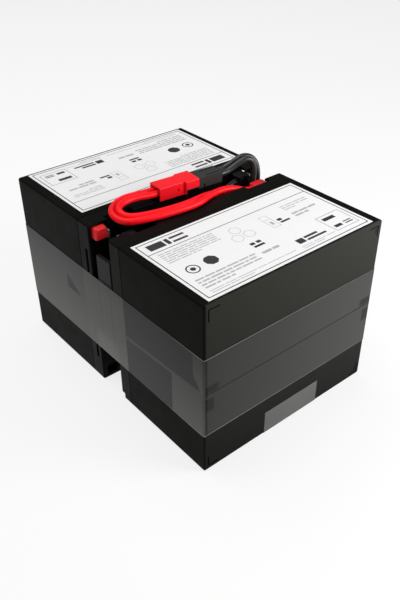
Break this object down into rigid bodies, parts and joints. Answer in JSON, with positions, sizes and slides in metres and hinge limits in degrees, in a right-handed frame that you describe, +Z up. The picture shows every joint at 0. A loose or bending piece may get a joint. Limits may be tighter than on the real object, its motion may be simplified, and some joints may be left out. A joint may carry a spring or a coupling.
{
  "type": "ups battery cartridge",
  "caption": "Replacement battery cartridge of a rack power unit: sealed black batteries in two stacks, lids facing a gap, bound by a clear film band, with a red and grey lead connector on top",
  "frame": {"origin": "middle of the cartridge's underside, on the surface it stands on", "axes": "X along the long side of the batteries, Y across both stacks, Z up; the front stack is at -Y"},
  "size_m": [0.1516, 0.2106, 0.1471],
  "materials": {
    "case": "satin moulded black",
    "lid": "satin moulded black",
    "valve": "matt",
    "plates": "dull lead grey",
    "terminal": "tinned",
    "receptacle": "tinned",
    "boot_red": "soft satin",
    "boot_black": "soft satin",
    "label": "white film paper",
    "clear_film": "clear stretched film",
    "strap": "clear film",
    "end_plate": "satin sheet",
    "housing_red": "satin moulded",
    "housing_grey": "satin moulded",
    "contact": "plated",
    "lead_red": "satin",
    "lead_black": "satin"
  },
  "bodies": {
    "root": {"base_strap": "strap", "black_lead_back": "lead_black", "black_lead_front": "lead_black", "far_end_plate": "end_plate", "film_band": "clear_film", "front_jumper_lead": "lead_black", "front_label": "label", "front_lower_cell_packs": "plates", "front_lower_jar": "case", "front_lower_lid": "lid", "front_lower_negative_cap": "boot_black", "front_lower_negative_terminal": "terminal", "front_lower_positive_boot": "boot_red", "front_lower_positive_receptacle": "receptacle", "front_lower_positive_terminal": "terminal", "front_lower_valve_caps": "valve", "front_lower_vent_cover": "lid", "front_upper_cell_packs": "plates", "front_upper_jar": "case", "front_upper_lid": "lid", "front_upper_negative_boot": "boot_black", "front_upper_negative_receptacle": "receptacle", "front_upper_negative_terminal": "terminal", "front_upper_positive_boot": "boot_red", "front_upper_positive_receptacle": "receptacle", "front_upper_positive_terminal": "terminal", "front_upper_valve_caps": "valve", "front_upper_vent_cover": "lid", "grey_link_contacts": "contact", "grey_link_housing": "housing_grey", "near_end_plate": "end_plate", "rear_jumper_lead": "lead_black", "rear_label": "label", "rear_lower_cell_packs": "plates", "rear_lower_jar": "case", "rear_lower_lid": "lid", "rear_lower_negative_boot": "boot_black", "rear_lower_negative_receptacle": "receptacle", "rear_lower_negative_terminal": "terminal", "rear_lower_positive_boot": "boot_red", "rear_lower_positive_receptacle": "receptacle", "rear_lower_positive_terminal": "terminal", "rear_lower_valve_caps": "valve", "rear_lower_vent_cover": "lid", "rear_upper_cell_packs": "plates", "rear_upper_jar": "case", "rear_upper_lid": "lid", "rear_upper_negative_boot": "boot_black", "rear_upper_negative_receptacle": "receptacle", "rear_upper_negative_terminal": "terminal", "rear_upper_positive_cap": "boot_red", "rear_upper_positive_terminal": "terminal", "rear_upper_valve_caps": "valve", "rear_upper_vent_cover": "lid", "red_lead_inner": "lead_red", "red_lead_outer": "lead_red", "red_link_contacts": "contact", "red_link_housing": "housing_red"}
  },
  "joints": []
}
